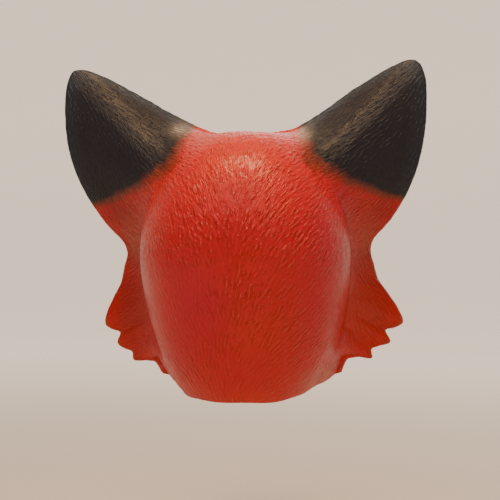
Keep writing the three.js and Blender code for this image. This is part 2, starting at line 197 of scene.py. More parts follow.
def head_radius(turn, y):
    """A superellipse for each section, times a round cap at the nape and one at the nose."""
    reach = -y / NOSE_REACH
    angle = np.radians(turn)
    across = np.abs(np.sin(angle)) / (SKULL_HALF_WIDTH * section("width", reach))
    up = np.cos(angle)
    top = (CROWN_RISE + WALL) * section("rise", reach)
    low = THROAT_DROP * section("fall", reach)
    height = np.where(up > 0, top, low)
    square = np.where(up > 0, section("square", reach), section("jowl", reach))
    section_radius = (across ** square + (np.abs(up) / height) ** square) ** (-1 / square)
    back = np.clip(y / NAPE_REACH, 0, 1)
    front = np.clip((NOSE_CAP - NOSE_REACH - y) / NOSE_CAP, 0, 1)
    nape_cap = (1 - back ** NAPE_ROUNDNESS) ** (1 / NAPE_ROUNDNESS)
    return section_radius * nape_cap * np.sqrt(1 - front ** 2)


print("bare head at the crown, mm:", float(head_radius(np.array(0.0), np.array(0.0))))


# %% The ears, the ruffs and the face's relief
def crest_at(turn):
    """Where the ring's crest lies at a turn, how far it stands off and how it falls away."""
    angle = np.abs(turn)
    stand = EAR_REACH * ring("ear", angle) + RUFF_REACH * ring("ruff", angle)
    return {
        "y": -NOSE_REACH * ring("place", angle),
        "stand": stand * (1 + np.sign(turn) * ring("lean", angle)),
        "rim": RIM * ring("rim", angle),
        "back": SPREAD * ring("back", angle),
        "front": SPREAD * ring("front", angle),
        "hollow": ring("hollow", angle),
    }


def ring_height(turn, y):
    """A half round rim on the crest, then a slope that falls by a power of what is left."""
    crest = crest_at(turn)
    rim = np.minimum(crest["rim"], crest["stand"] / 2)
    away = np.abs(y - crest["y"])
    behind = y > crest["y"]
    spread = np.where(behind, crest["back"], crest["front"])
    power = np.where(behind, BACK_HOLLOW, crest["hollow"])
    over = np.clip(away / crest["rim"], 0, 1)
    top = crest["stand"] - rim + rim * np.sqrt(1 - over ** 2)
    left = np.clip(1 - (away - crest["rim"]) / (spread - crest["rim"]), 0, 1)
    slope = (crest["stand"] - rim) * left ** power
    return np.where(away <= crest["rim"], top, slope) * (crest["stand"] > 0)


def relief_height(x, y, z):
    """Round swellings, each a bell in three directions, less the groove of the mouth."""
    rise = np.zeros(np.broadcast(x, y, z).shape)
    for place_x, place_y, drop, wide, deep, tall, lift in RELIEF:
        side = (np.abs(x) / SKULL_HALF_WIDTH - place_x) / wide
        ahead = (-y / NOSE_REACH - place_y) / deep
        down = (-z / CROWN_RISE - drop) / tall
        rise = rise + RIM * lift * np.exp(-side ** 2 - ahead ** 2 - down ** 2)
    along = np.clip((y - MOUTH_FRONT_Y) / (MOUTH_CORNER_Y - MOUTH_FRONT_Y), 0, 1)
    line = MOUTH_FRONT_DROP + (MOUTH_CORNER_DROP - MOUTH_FRONT_DROP) * along ** 2
    ended = np.maximum(y - MOUTH_CORNER_Y, 0) / MOUTH_HALF_WIDTH
    beside = (-z - line) / MOUTH_HALF_WIDTH
    return rise - MOUTH_DEPTH * np.exp(-beside ** 2 - ended ** 2)


# %% The outside and the inside of the skin
def point_at(turn, y, radius):
    """A point of the skin: out from the centre line by the radius, at the turn."""
    angle = np.radians(turn)
    across = radius * np.sin(angle)
    return np.stack([across, y, centre_height(y) + radius * np.cos(angle)], axis=-1)


def outside_radius(turn, y):
    """The bare head, plus the ring, plus the relief."""
    bare = head_radius(turn, y)
    x, _, z = np.moveaxis(point_at(turn, y, bare), -1, 0)
    lift = np.minimum(1, bare / (2 * RIM))
    return bare + ring_height(turn, y) + lift * relief_height(x, y, z)


def inside_radius(turn, y):
    """The lowest of the balls, a wall in radius, that hang from the outside round about."""
    lowest = outside_radius(turn, y) - WALL
    for share in (0.5, 0.8, 1.0):
        drop = WALL * math.sqrt(1 - share * share)
        for k in range(8):
            ahead = share * WALL * math.sin(k * math.pi / 4)
            aside = share * WALL * math.cos(k * math.pi / 4)
            turned = turn + np.degrees(aside / np.maximum(lowest, RIM))
            lowest = np.minimum(lowest, outside_radius(turned, y + ahead) - drop)
    return np.maximum(lowest, WALL / 5)


crown = np.zeros(1)
print("wall at the crown, mm:", outside_radius(crown, crown) - inside_radius(crown, crown))


# %% [markdown]
# ## The grid
# A grid that is even in turn and place would be far too coarse on the steep sides of the ears.
# So the columns are closer where the skin reaches far out, and each column's rows are spaced
# evenly along its own profile. One row always lies on the crest, which keeps the rims crisp.

# %% Columns and rows
COLUMNS = 440
BACK_ROWS = 122
FRONT_ROWS = 78
PROFILE_SAMPLES = 500
COLUMN_DENSITY = np.array([(0, 1.0), (14, 1.1), (30, 1.75), (70, 1.6), (95, 1.25), (140, 1.2),
                           (152, 0.55), (180, 0.4)])


def column_turns(count):
    """Turns all the way round, as close together as the density asks."""
    turns = np.linspace(0, 180, 721)
    density = np.interp(turns, COLUMN_DENSITY[:, 0], COLUMN_DENSITY[:, 1])
    steps = (density[1:] + density[:-1]) / 2
    summed = np.concatenate([[0], np.cumsum(steps)])
    half = np.interp(np.linspace(0, summed[-1], count // 2 + 1), summed, turns)
    return np.concatenate([half, -half[-2:0:-1]])


def even_rows(turns, start, end, count):
    """Places between two ends, evenly spaced along each column's profile."""
    share = np.sin(np.linspace(0, 1, PROFILE_SAMPLES) * np.pi / 2)[:, None] ** 2
    y = start + (end - start) * share
    profile = outside_radius(turns[None, :], y)
    steps = np.hypot(np.diff(y, axis=0), np.diff(profile, axis=0))
    along = np.concatenate([np.zeros((1, len(turns))), np.cumsum(steps, axis=0)])
    along = along / along[-1] + 2 * np.arange(len(turns))
    wanted = np.linspace(0, 1, count)[:, None] + 2 * np.arange(len(turns))
    return np.interp(wanted.T.ravel(), along.T.ravel(), y.T.ravel()).reshape(-1, count).T


turns = column_turns(COLUMNS)
crest_y = crest_at(turns)["y"]
nape_y = np.full(COLUMNS, NAPE_REACH)
nose_y = np.full(COLUMNS, -NOSE_REACH)
back_y = even_rows(turns, nape_y, crest_y, BACK_ROWS)
front_y = even_rows(turns, crest_y, nose_y, FRONT_ROWS)
places = np.concatenate([back_y, front_y[1:]])
print("grid:", places.shape, "rows and columns")


# %% Faces of a closed grid
def closed_grid(points):
    """Points on rows and columns with a pole at both ends, as vertices and faces that look out."""
    rows, columns = points.shape[:2]
    inner = points[1:-1].reshape(-1, 3)
    vertices = np.concatenate([points[0, :1], inner, points[-1, :1]])
    ids = 1 + np.arange((rows - 2) * columns).reshape(rows - 2, columns)
    after = np.roll(ids, -1, axis=1)
    quads = np.stack([ids[:-1], ids[1:], after[1:], after[:-1]], axis=-1).reshape(-1, 4)
    last = len(vertices) - 1
    nape = np.stack([np.zeros(columns, int), ids[0], after[0]], axis=-1)
    nose = np.stack([np.full(columns, last), after[-1], ids[-1]], axis=-1)
    return vertices, [*quads.tolist(), *nape.tolist(), *nose.tolist()]


def new_object(name, data):
    """A new object in the scene."""
    made = bpy.data.objects.new(name, data)
    bpy.context.scene.collection.objects.link(made)
    return made


def mesh_from(name, vertices, faces):
    """A mesh in metres from vertices in millimetres."""
    mesh = bpy.data.meshes.new(name)
    mesh.from_pydata((np.asarray(vertices) * MM).tolist(), [], faces)
    mesh.validate()
    return mesh


# %% [markdown]
# ## Combed fur
# Each stroke on the real skin is a low ridge, some 12 mm long and 3 mm wide, that tapers at its
# end. They all follow a direction that changes slowly: back over the crown, in and down over
# the nape, along the ears and out along the ruffs. Sculpting thousands of them by hand would be
# slow, so they are scattered: one centre in each small cell of space, and every point of the
# skin takes the highest stroke over it. This is real relief in the mesh. Only the thinnest
# dashes, which are narrower than the grid's faces, are left to the paint's bump.

# %% Where a point lies
def smooth_step(low, high, value):
    """0 below low, 1 above high, and an even ease between."""
    t = np.clip((value - low) / (high - low), 0, 1)
    return t * t * (3 - 2 * t)


def bells(x, z, table):
    """A column of round bells, seen along y, for each row of a table: x, z, wide, tall."""
    table = np.asarray(table, float)
    aside = (x[:, None] - table[:, 0]) / table[:, 2]
    above = (z[:, None] - table[:, 1]) / table[:, 3]
    return np.exp(-aside ** 2 - above ** 2)


def lay_of(points):
    """The turn, the place, the radius and the height over the bare head of each point."""
    x, y, z = points.T
    up = z - centre_height(y)
    turn = np.degrees(np.arctan2(x, up))
    radius = np.hypot(x, up)
    return turn, y, radius, radius - head_radius(turn, np.clip(y, -NOSE_REACH, NAPE_REACH))


# %% The direction of the fur
EAR_TIP = (184.0, -12.0, 92.0)
RUFF_WAY = (0.9, 0.1, -0.55)
FACE_WAY = (0.25, 1.0, 0.22)
HEAD_BACK = 0.45
DRAW_IN = 0.0072
DRAW_IN_MORE, DRAW_IN_Z, DRAW_IN_TALL = 0.014, -30.0, 40.0
RUFF_DEPTH = 36.0
FACE_START, FACE_END = 18.0, 48.0
EAR_END, EAR_FADE = 86.0, 76.0


def unit(vectors):
    """Vectors brought to length one."""
    return vectors / np.maximum(np.linalg.norm(vectors, axis=-1, keepdims=True), 1e-9)


def mirrored(way, side):
    """A vector for every point, with its x turned to the point's own side."""
    return np.array(way) * np.stack([side, np.ones_like(side), np.ones_like(side)], axis=-1)


def flow_of(points, normals):
    """Blends the lie of the fur on the head, ears, ruffs and face, then lays it on the skin."""
    turn, y, _, stand = lay_of(points)
    x, _, z = points.T
    angle = np.abs(turn)
    side = np.where(x < 0, -1.0, 1.0)
    inward = DRAW_IN + DRAW_IN_MORE * np.exp(-((z - DRAW_IN_Z) / DRAW_IN_TALL) ** 2)
    head = np.stack([-inward * x, np.full_like(x, HEAD_BACK), -np.ones_like(x)], axis=-1)
    ear = points - mirrored(EAR_TIP, side)
    crest = crest_at(turn)
    on_ruff = smooth_step(0.12, 0.5, ring("ruff", angle))
    on_ruff = on_ruff * np.exp(-((y - crest["y"]) / RUFF_DEPTH) ** 2)
    on_ear = smooth_step(6, 34, stand) * smooth_step(EAR_END, EAR_FADE, angle)
    on_face = smooth_step(FACE_START, FACE_END, crest["y"] - y)
    guide = unit(head)
    ways = ((on_ruff, mirrored(RUFF_WAY, side)), (on_ear, ear), (on_face, mirrored(FACE_WAY, side)))
    for weight, way in ways:
        guide = guide + (unit(way) - guide) * weight[:, None]
    flat = guide - np.sum(guide * normals, axis=-1, keepdims=True) * normals
    return unit(flat)


# %% How strong the combing is
NOSE_PAD = np.array([0.0, -200.0, -133.0])
EYES = np.array([(38.0, -104.0), (-38.0, -104.0)])
FACE_Y = -60.0
SOFT_PLACES = ((50, -172, 44, 46), (-14, -215, 70, 34))
SOFT_SHARE, RUFF_SHARE, FACE_SHARE = 0.62, 0.5, 0.55
EAR_LEAST = 0.5


def strength_of(points):
    """Full on the upper back of the head, softer low down, on the ears' flats and on the face."""
    turn, y, _, stand = lay_of(points)
    x, _, z = points.T
    angle = np.abs(turn)
    strength = 1 - SOFT_SHARE * bells(x, z, SOFT_PLACES).max(axis=1)
    on_ear = smooth_step(10, 45, stand) * smooth_step(EAR_END, EAR_FADE, angle)
    upper_edge = smooth_step(50, 34, angle)
    strength = strength * (1 - on_ear) + on_ear * (EAR_LEAST + (1 - EAR_LEAST) * upper_edge)
    strength = strength * (1 - RUFF_SHARE * smooth_step(0.3, 0.8, ring("ruff", angle)))
    ahead = crest_at(turn)["y"] - y
    strength = strength * (1 - FACE_SHARE * smooth_step(FACE_START, FACE_END, ahead))
    strength = strength * smooth_step(16, 34, np.linalg.norm(points - NOSE_PAD, axis=-1))
    for eye_x, eye_z in EYES:
        to_eye = np.hypot(x - eye_x, z - eye_z)
        strength = strength * np.where(y < FACE_Y, smooth_step(16, 30, to_eye), 1)
    return strength


# %% Scatter the strokes
CELL = 4.7
STROKE_HALF_LENGTH = 6.2
STROKE_HALF_WIDTH = 1.75
STROKE_HEIGHT = 0.8
WANDER = 0.3
STROKE_SIZES, STROKE_LIFTS = (0.75, 1.2), (0.6, 1.0)
CELL_KEY = np.array([1, 4096, 16777216])
seeded = np.random.default_rng(7)


def normals_of(points):
    """Each grid point's normal, from its neighbours along the row and along the column."""
    along = np.gradient(points, axis=0)
    across = np.roll(points, -1, axis=1) - np.roll(points, 1, axis=1)
    return unit(np.cross(along, across))


def one_in_each_cell(points, size):
    """The first point, in a shuffled order, of every cubic cell of that size."""
    order = seeded.permutation(len(points))
    cells = np.floor(points[order] / size).astype(np.int64)
    _, first = np.unique(cells @ CELL_KEY, return_index=True)
    return order[first]


outside = point_at(turns[None, :], places, outside_radius(turns[None, :], places))
outside_normals = normals_of(outside)
flat_points = outside[1:-1].reshape(-1, 3)
flat_normals = outside_normals[1:-1].reshape(-1, 3)
chosen = one_in_each_cell(flat_points, CELL)
stroke_at = flat_points[chosen]
stroke_way = flow_of(stroke_at, flat_normals[chosen])
swing = seeded.normal(0, WANDER, len(chosen))[:, None]
stroke_side = unit(np.cross(flat_normals[chosen], stroke_way))
stroke_way = stroke_way * np.cos(swing) + stroke_side * np.sin(swing)
stroke_side = unit(np.cross(flat_normals[chosen], stroke_way))
stroke_size = seeded.uniform(*STROKE_SIZES, len(chosen))
stroke_lift = strength_of(stroke_at) * seeded.uniform(*STROKE_LIFTS, len(chosen))
NAPE_LEAST, NAPE_NEAR, NAPE_FAR = 0.25, 6.0, 42.0
to_nape = np.linalg.norm(stroke_at - np.array([0, NAPE_REACH, -CROWN_RISE]), axis=-1)
stroke_lift = stroke_lift * (NAPE_LEAST + (1 - NAPE_LEAST) * smooth_step(NAPE_NEAR, NAPE_FAR, to_nape))
print("strokes:", len(chosen))

# %% Take the highest stroke at every point
BOX = 7.6
BOX_KEY = np.array([1, 512, 262144])
BOX_SHIFT = 200
STROKE_BEND = 0.9
STROKE_TAPER = 0.35
stroke_box = (np.floor(stroke_at / BOX).astype(np.int64) + BOX_SHIFT) @ BOX_KEY
by_box = np.argsort(stroke_box, kind="stable")
sorted_box = stroke_box[by_box]


def stroke_relief(points):
    """The height of the strokes, a round ridge across and a taper along, from 0 to 1."""
    height = np.zeros(len(points))
    own = np.floor(points / BOX).astype(np.int64) + BOX_SHIFT
    for step in np.ndindex(3, 3, 3):
        key = (own + np.array(step) - 1) @ BOX_KEY
        start = np.searchsorted(sorted_box, key, side="left")
        end = np.searchsorted(sorted_box, key, side="right")
        for k in range(int((end - start).max())):
            near = np.nonzero(start + k < end)[0]
            stroke = by_box[start[near] + k]
            away = points[near] - stroke_at[stroke]
            size = stroke_size[stroke]
            along = np.sum(away * stroke_way[stroke], axis=-1) / (STROKE_HALF_LENGTH * size)
            bend = STROKE_BEND * (along ** 2) * np.where(stroke % 2, 1, -1)
            across = (np.sum(away * stroke_side[stroke], axis=-1) + bend) / (STROKE_HALF_WIDTH * size)
            taper = np.clip(1 - along ** 2, 0, 1) * (1 - STROKE_TAPER * along)
            ridge = np.clip(1 - across ** 2, 0, 1)
            height[near] = np.maximum(height[near], stroke_lift[stroke] * taper * ridge)
    return height


relief = stroke_relief(flat_points)
SKIN_INSET = 0.45
BOX_MARGIN = 0.05
combed = outside.copy()
shift = flat_normals * (STROKE_HEIGHT * relief - SKIN_INSET)[:, None]
combed[1:-1] += shift.reshape(combed[1:-1].shape)
low = np.array(cad_box[0]) / MM + BOX_MARGIN
high = np.array(cad_box[1]) / MM - BOX_MARGIN
print("combed skin reaches past the CAD box by, mm:",
      np.round(low - combed.reshape(-1, 3).min(0), 2), np.round(combed.reshape(-1, 3).max(0) - high, 2))
combed = np.clip(combed, low, high)

# %% [markdown]
# ## The inside
# The casting follows the mould, so the inside has the same hollows as the outside, a wall's
# thickness in, but the liquid latex rounds off the fur. Its grid takes every third row and
# column of the outside's, and a second closed shell that faces inwards makes the wall.

# %% Build both shells as one mesh
COARSE = 3
inner_columns = np.arange(0, COLUMNS, COARSE)
row_lists = [np.arange(0, BACK_ROWS, COARSE), np.arange(BACK_ROWS - 1, len(places), COARSE)]
inner_rows = np.unique(np.concatenate([*row_lists, [BACK_ROWS - 1, len(places) - 1]]))
inner_turns = turns[inner_columns]
inner_places = places[np.ix_(inner_rows, inner_columns)]
inner_crest = crest_y[inner_columns]
behind = inner_places > inner_crest
back_share = (NAPE_REACH - WALL - inner_crest) / (NAPE_REACH - inner_crest)
front_share = (NOSE_REACH - NOSE_WALL + inner_crest) / (NOSE_REACH + inner_crest)
inner_places = inner_crest + (inner_places - inner_crest) * np.where(behind, back_share, front_share)
inner_turns = inner_turns[None, :]
inside = point_at(inner_turns, inner_places, inside_radius(inner_turns, inner_places))
outer_vertices, outer_faces = closed_grid(combed)
inner_vertices, inner_faces = closed_grid(inside)
offset = len(outer_vertices)
turned_faces = [[offset + v for v in reversed(face)] for face in inner_faces]
skin_mesh = mesh_from("mask_skin", np.concatenate([outer_vertices, inner_vertices]),
                      outer_faces + turned_faces)
mask = new_object("mask_skin", skin_mesh)
print("before cutting:", len(skin_mesh.vertices), "vertices")

# %% [markdown]
# ## The openings
# The neck is cut along a slightly wavy hem, lower at the nape, with a small torn corner. The
# eyes are almonds and the nostrils are round. Cutting with closed tools is how the maker's
# scissors and punch do it, and the wall then shows its true thickness.

# %% The hem
HEM_NAPE_DROP, HEM_THROAT_DROP, HEM_SIDE_RISE = 240.0, 228.0, 6.0
HEM_NAPE_Y, HEM_THROAT_Y = 68.0, -88.0
TEAR_WIDTH, TEAR_HEIGHT, TEAR_Y = 12.0, 5.0, 12.0
HEM_WAVE = 1.2
HEM_RIPPLES = ((5, 0.6, 0.8), (11, 0.4, 2.1))
HEM_MIDDLE_Y = -10.0


def hem_height(x, y):
    """The hem's height: lower at the nape, up at the sides, torn at one corner, a little wavy."""
    ahead = smooth_step(0, HEM_NAPE_Y - HEM_THROAT_Y, HEM_NAPE_Y - y)
    drop = HEM_NAPE_DROP + (HEM_THROAT_DROP - HEM_NAPE_DROP) * ahead
    side = HEM_SIDE_RISE * (x / SKULL_HALF_WIDTH) ** 2
    tear = np.where(x > 0, TEAR_HEIGHT * np.exp(-((y - TEAR_Y) / TEAR_WIDTH) ** 2), 0)
    bearing = np.arctan2(x, y - HEM_MIDDLE_Y)
    wave = sum((share * np.sin(lobes * bearing + phase) for lobes, share, phase in HEM_RIPPLES), 1)
    return -drop + side + tear + HEM_WAVE * wave


print("hem at the nape, mm:", round(float(hem_height(0.0, HEM_NAPE_Y)), 1))

SLAB_HALF_WIDTH, SLAB_BACK, SLAB_FRONT = 200.0, 150.0, -170.0
SLAB_FLOOR, SLAB_STEPS = -420.0, 90


def slab(height_at):
    """A block whose top follows a height, as two grids sewn along their edges."""
    wide = np.linspace(-SLAB_HALF_WIDTH, SLAB_HALF_WIDTH, SLAB_STEPS)
    x, y = np.meshgrid(wide, np.linspace(SLAB_FRONT, SLAB_BACK, SLAB_STEPS))
    top = np.stack([x, y, height_at(x, y)], axis=-1).reshape(-1, 3)
    base = top.copy()
    base[:, 2] = SLAB_FLOOR
    shift = len(top)
    ids = np.arange(shift).reshape(x.shape)
    quads = np.stack([ids[:-1, :-1], ids[:-1, 1:], ids[1:, 1:], ids[1:, :-1]], axis=-1).reshape(-1, 4)
    edge = np.concatenate([ids[0, :-1], ids[:-1, -1], ids[-1, :0:-1], ids[:0:-1, 0]])
    after = np.roll(edge, -1)
    walls = np.stack([edge, edge + shift, after + shift, after], axis=-1)
    sides = [*quads.tolist(), *(quads[:, ::-1] + shift).tolist(), *walls.tolist()]
    return np.concatenate([top, base]), sides


# %% The eyes and the nostrils
EYE_SPACING, EYE_DROP = 76.0, 104.0
EYE_WIDTH, EYE_HEIGHT, EYE_TILT = 38.0, 20.0, 16.0
NOSTRIL_SPACING, NOSTRIL_DROP = 17.0, 141.0
NOSTRIL_RADIUS, NOSTRIL_DEPTH = 3.6, 16.0


def bar(outline, back, front):
    """A closed bar along y with the given outline in x and z."""
    count = len(outline)
    ends = [np.insert(outline, 1, y, axis=1) for y in (back, front)]
    ids = np.arange(count)
    after = np.roll(ids, -1)
    walls = np.stack([ids, after, after + count, ids + count], axis=-1)
    return np.concatenate(ends), [ids[::-1].tolist(), (ids + count).tolist(), *walls.tolist()]


def almond(side):
    """Two arcs that meet in corners, tilted so that the outer corner is the higher."""
    t = np.linspace(0, 1, 25)
    u = EYE_WIDTH * (t - 0.5)
    v = EYE_HEIGHT * 2 * t * (1 - t)
    arc = np.concatenate([np.stack([u, v], axis=-1), np.stack([u, -v], axis=-1)[-2:0:-1]])
    tilt = math.radians(EYE_TILT) * side
    x = arc[:, 0] * math.cos(tilt) - arc[:, 1] * math.sin(tilt) + side * EYE_SPACING / 2
    z = arc[:, 0] * math.sin(tilt) + arc[:, 1] * math.cos(tilt) - EYE_DROP
    return np.stack([x, z], axis=-1)


def round_hole(side):
    """A circle at the nostril's place."""
    t = np.linspace(0, 2 * np.pi, 24, endpoint=False)
    return np.stack([side * NOSTRIL_SPACING / 2 + NOSTRIL_RADIUS * np.cos(t),
                     -NOSTRIL_DROP + NOSTRIL_RADIUS * np.sin(t)], axis=-1)


tools = [slab(hem_height)]
for side in (1, -1):
    tools.append(bar(almond(side), 0.0, -NOSE_REACH))
    tools.append(bar(round_hole(side), NOSTRIL_DEPTH - NOSE_REACH, -NOSTRIL_DEPTH - NOSE_REACH))
print("cutting tools:", len(tools))


# %% Cut them
def outward(mesh):
    """Turns every face of a closed mesh outwards."""
    work = bmesh.new()
    work.from_mesh(mesh)
    bmesh.ops.recalc_face_normals(work, faces=work.faces)
    work.to_mesh(mesh)
    work.free()


cutters = []
for k, (vertices, faces) in enumerate(tools):
    tool_mesh = mesh_from(f"cutter_{k}", vertices, faces)
    outward(tool_mesh)
    cutter = new_object(f"cutter_{k}", tool_mesh)
    cutters.append(cutter)
    cut = mask.modifiers.new(f"cut_{k}", "BOOLEAN")
    cut.operation = "DIFFERENCE"
    cut.solver = "MANIFOLD"
    cut.object = cutter
bpy.context.view_layer.update()
graph = bpy.context.evaluated_depsgraph_get()
skin = bpy.data.meshes.new_from_object(mask.evaluated_get(graph))
mask.modifiers.clear()
mask.data = skin
skin.name = "mask_skin"
for cutter in cutters:
    bpy.data.objects.remove(cutter)
skin.calc_loop_triangles()
print("after cutting:", len(skin.vertices), "vertices,", len(skin.loop_triangles), "triangles")

# %% Smooth shading, with the cut edges kept crisp
CUT_ANGLE = math.radians(62)
skin.shade_smooth()
skin.set_sharp_from_angle(angle=CUT_ANGLE)

# %% [markdown]
# ## What the paint needs to know
# The paint is sprayed and brushed by region, so each region is worked out once at every vertex,
# as a distance in millimetres from the region's edge, and kept as an attribute. The material
# then adds a ragged edge to it. That is steadier than a picture, and it follows the shape.

# %% Read the vertices back
count = len(skin.vertices)
points = np.empty(3 * count, np.float32)
skin.vertices.foreach_get("co", points)
points = points.reshape(-1, 3).astype(float) / MM
normals = np.empty(3 * count, np.float32)
skin.vertex_normals.foreach_get("vector", normals)
normals = normals.reshape(-1, 3).astype(float)
turn, _, radius, stand = lay_of(points)
angle = np.abs(turn)
crest = crest_at(turn)
x, y, z = points.T
clear_y = np.clip(y, 0.5 - NOSE_REACH, NAPE_REACH - 0.5)
middle = (inside_radius(turn, clear_y) + outside_radius(turn, clear_y)) / 2
outer_side = smooth_step(-0.2, 0.2, radius - middle)
outer_side = np.maximum(outer_side, (y > NAPE_REACH - WALL / 2) | (y < NOSE_WALL / 2 - NOSE_REACH))
print("outer vertices:", int((outer_side > 0.5).sum()), "of", count)


# %% The slate of the ears
def attribute(name, values):
    """One value, or one vector, at every vertex."""
    values = np.asarray(values, np.float32)
    kind = "FLOAT_VECTOR" if values.ndim == 2 else "FLOAT"
    layer = skin.attributes.new(name, kind, "POINT")
    layer.data.foreach_set("vector" if values.ndim == 2 else "value", values.ravel())


SLATE_EDGE = np.array([(0, 90), (16, 60), (20, 32), (22, 25), (24, 18), (30, 9), (37, 4), (46, 9),
                       (55, 17), (62, 31), (67, 44), (71, 62), (76, 95), (180, 200)], float)
SLATE_FOOT, SLATE_FOOT_SHARE = 4.0, 0.9
foot_gap = crest["y"] + crest["back"] - y
slate = stand - curve_through(SLATE_EDGE[:, 0], SLATE_EDGE[:, 1], angle)
front_gap = y - crest["y"] + crest["front"]
slate = np.minimum(slate, SLATE_FOOT_SHARE * np.minimum(foot_gap, front_gap) - SLATE_FOOT)
attribute("slate_mm", slate)
print("slate vertices:", int((slate > 0).sum()))

# %% The cream of the cheeks and of the ears' cups
ear_front = crest["y"] - y
CREAM_EDGE = np.array([(-203, 72), (-170, 74), (-140, 76), (-112, 92), (-90, 100), (-70, 101),
                       (-45, 104)], float)
CREAM_BEHIND_CREST = 5.0
cream_turn = curve_through(CREAM_EDGE[:, 0], CREAM_EDGE[:, 1], y)
cream = np.minimum((angle - cream_turn) * np.radians(radius), ear_front - CREAM_BEHIND_CREST)
CUP_FRONT, CUP_FOOT, CUP_RIM, CUP_LAST_TURN = 3.0, 8.0, 14.0, 80.0
cup = np.minimum(ear_front - CUP_FRONT, stand - CUP_FOOT)
cup = np.minimum(cup, crest["stand"] - stand - CUP_RIM)
cup = np.minimum(cup, (CUP_LAST_TURN - angle) * np.radians(radius))
attribute("cream_mm", np.maximum(cream, cup))

# %% The dark nose, the eyes' lines and the tufts' tips
PAD_SIZE, PAD_SHAPE = 17.0, np.array([0.9, 0.55, 1.15])
nose = PAD_SIZE - np.linalg.norm((points - NOSE_PAD) * PAD_SHAPE, axis=-1)
NOWHERE, EYE_LINE = -50.0, 4.0
eye_line = np.full(count, NOWHERE)
for eye_x, eye_z in EYES:
    side = np.sign(eye_x)
    tilt = math.radians(EYE_TILT) * side
    u = (x - eye_x) * math.cos(tilt) + (z - eye_z) * math.sin(tilt)
    v = -(x - eye_x) * math.sin(tilt) + (z - eye_z) * math.cos(tilt)
    almond_gap = np.abs(v) - EYE_HEIGHT / 2 * (1 - np.clip(np.abs(u) / (EYE_WIDTH / 2), 0, 1) ** 2)
    beyond = np.maximum(np.abs(u) - EYE_WIDTH / 2, 0)
    line = EYE_LINE - np.hypot(np.maximum(almond_gap, 0), beyond)
    eye_line = np.maximum(eye_line, np.where(y < FACE_Y, line, NOWHERE))
TUFTS, TUFT_WIDE = (114.0, 122.0, 130.3), 2.4
tuft = sum(np.exp(-((angle - t) / TUFT_WIDE) ** 2) for t in TUFTS)
tip = np.clip(tuft, 0, 1) * smooth_step(9, 1, crest["stand"] - stand)
tip = tip * smooth_step(16, 7, np.abs(y - crest["y"]))
attribute("dark_mm", np.maximum(nose, eye_line))
attribute("tuft_tip", tip)
print("dark vertices:", int((np.maximum(nose, eye_line) > 0).sum()))

# %% Tints of the red, some of them painted sheen: x, z, wide, tall, then how crimson, orange and tan
TINTS_AND_SHEENS = np.array([
    (32, -150, 30, 40, 0.9, 0, 0),
    (-82, -86, 27, 42, 0.95, 0, 0),
    (2, -92, 16, 26, 0.6, 0, 0),
    (-52, -170, 26, 34, 0.5, 0, 0),
    (0, -238, 60, 16, 0, 0.5, 0),
    (-16, -182, 30, 26, 0, 0.5, 0),
    (78, -112, 18, 60, 0, 0.6, 0),
    # Painted highlight: an orange sheen on the crown
    (0, -14, 56, 30, 0, 0.9, 0),
    (-66, -224, 18, 9, 0, 0.3, 0.6),
    # Painted sheen: light tan at the waists between the ears and the ruffs
    (112, -98, 13, 24, 0, 0, 0.95),
    (-116, -107, 13, 26, 0, 0, 0.95),
    (-118, -165, 18, 30, 0, 0, 0.4),
    # Painted highlight: the rows at x 96 and -97 are pale bands along the edges of the skull's swelling
    (96, -125, 9, 62, 0, 0, 0.45),
    (112, -160, 20, 46, 0, 0, 0.4),
    (-97, -130, 12, 62, 0, 0, 0.35),
])
# Painted shade: darker red under the ears and on the ruffs, where shade falls: x, z, wide, tall, amount
PAINTED_SHADES = np.array([(124, -68, 22, 17, 0.55), (-131, -72, 22, 17, 0.44), (118, -165, 20, 40, 0.38),
                   (-128, -168, 18, 34, 0.22)])
PALE_ROOTS = ((60, 8, 9, 8), (-55, -1, 8, 10))
attribute("tint_and_sheen", np.clip(bells(x, z, TINTS_AND_SHEENS[:, :4]) @ TINTS_AND_SHEENS[:, 4:], 0, 1))
attribute("painted_shade", bells(x, z, PAINTED_SHADES[:, :4]) @ PAINTED_SHADES[:, 4])
attribute("pale_root", bells(x, z, PALE_ROOTS).sum(axis=1) * smooth_step(-12, 4, y - crest["y"]))

# %% Worn edges with painted sheen, and the lie of the fur
near_crest = smooth_step(26, 4, crest["stand"] - stand) * smooth_step(14, 40, crest["stand"])
WEAR_AND_SHEEN_LEAST = 0.35
# Paler near the ears' crests and strongest on their upper edges, where the light falls: wear and painted
# sheen
attribute("worn_and_sheen_edge", near_crest * (WEAR_AND_SHEEN_LEAST + (1 - WEAR_AND_SHEEN_LEAST) * smooth_step(52, 30, angle)))
attribute("fur", stroke_relief(points) * outer_side)
flow = flow_of(points, normals)
attribute("across_fur", unit(np.cross(normals, flow)))
attribute("combing", strength_of(points) * outer_side)
print("attributes:", len(skin.attributes))

# %% [markdown]
# ## The finish
# Dry latex is half gloss: a broad, soft shine with small lights on the tops of the strokes.
# Mottling, the uneven thickness of a coat, is wanted on both sides of the skin, so it is a node
# group with named sockets. Fine combing is one too: two bands of a noise that is turned to the
# fur's direction. The skin's painted outside and its bare inside are two materials.

# %% Small helpers for nodes
NOISE_ROUGHNESS = 0.55


def feed(tree, socket, value):
    """Links a socket, or sets it where the value is plain."""
    if isinstance(value, bpy.types.NodeSocket):
        tree.links.new(value, socket)
    elif isinstance(value, tuple) and len(value) == 3 and len(socket.default_value) == 4:
        socket.default_value = (*value, 1.0)
    else:
        socket.default_value = value


def maths(tree, operation, *values, clamp=False):
    """A Math node over plain values or sockets."""
    node = tree.nodes.new("ShaderNodeMath")
    node.operation = operation
    node.use_clamp = clamp
    for socket, value in zip(node.inputs, values):
        feed(tree, socket, value)
    return node.outputs[0]


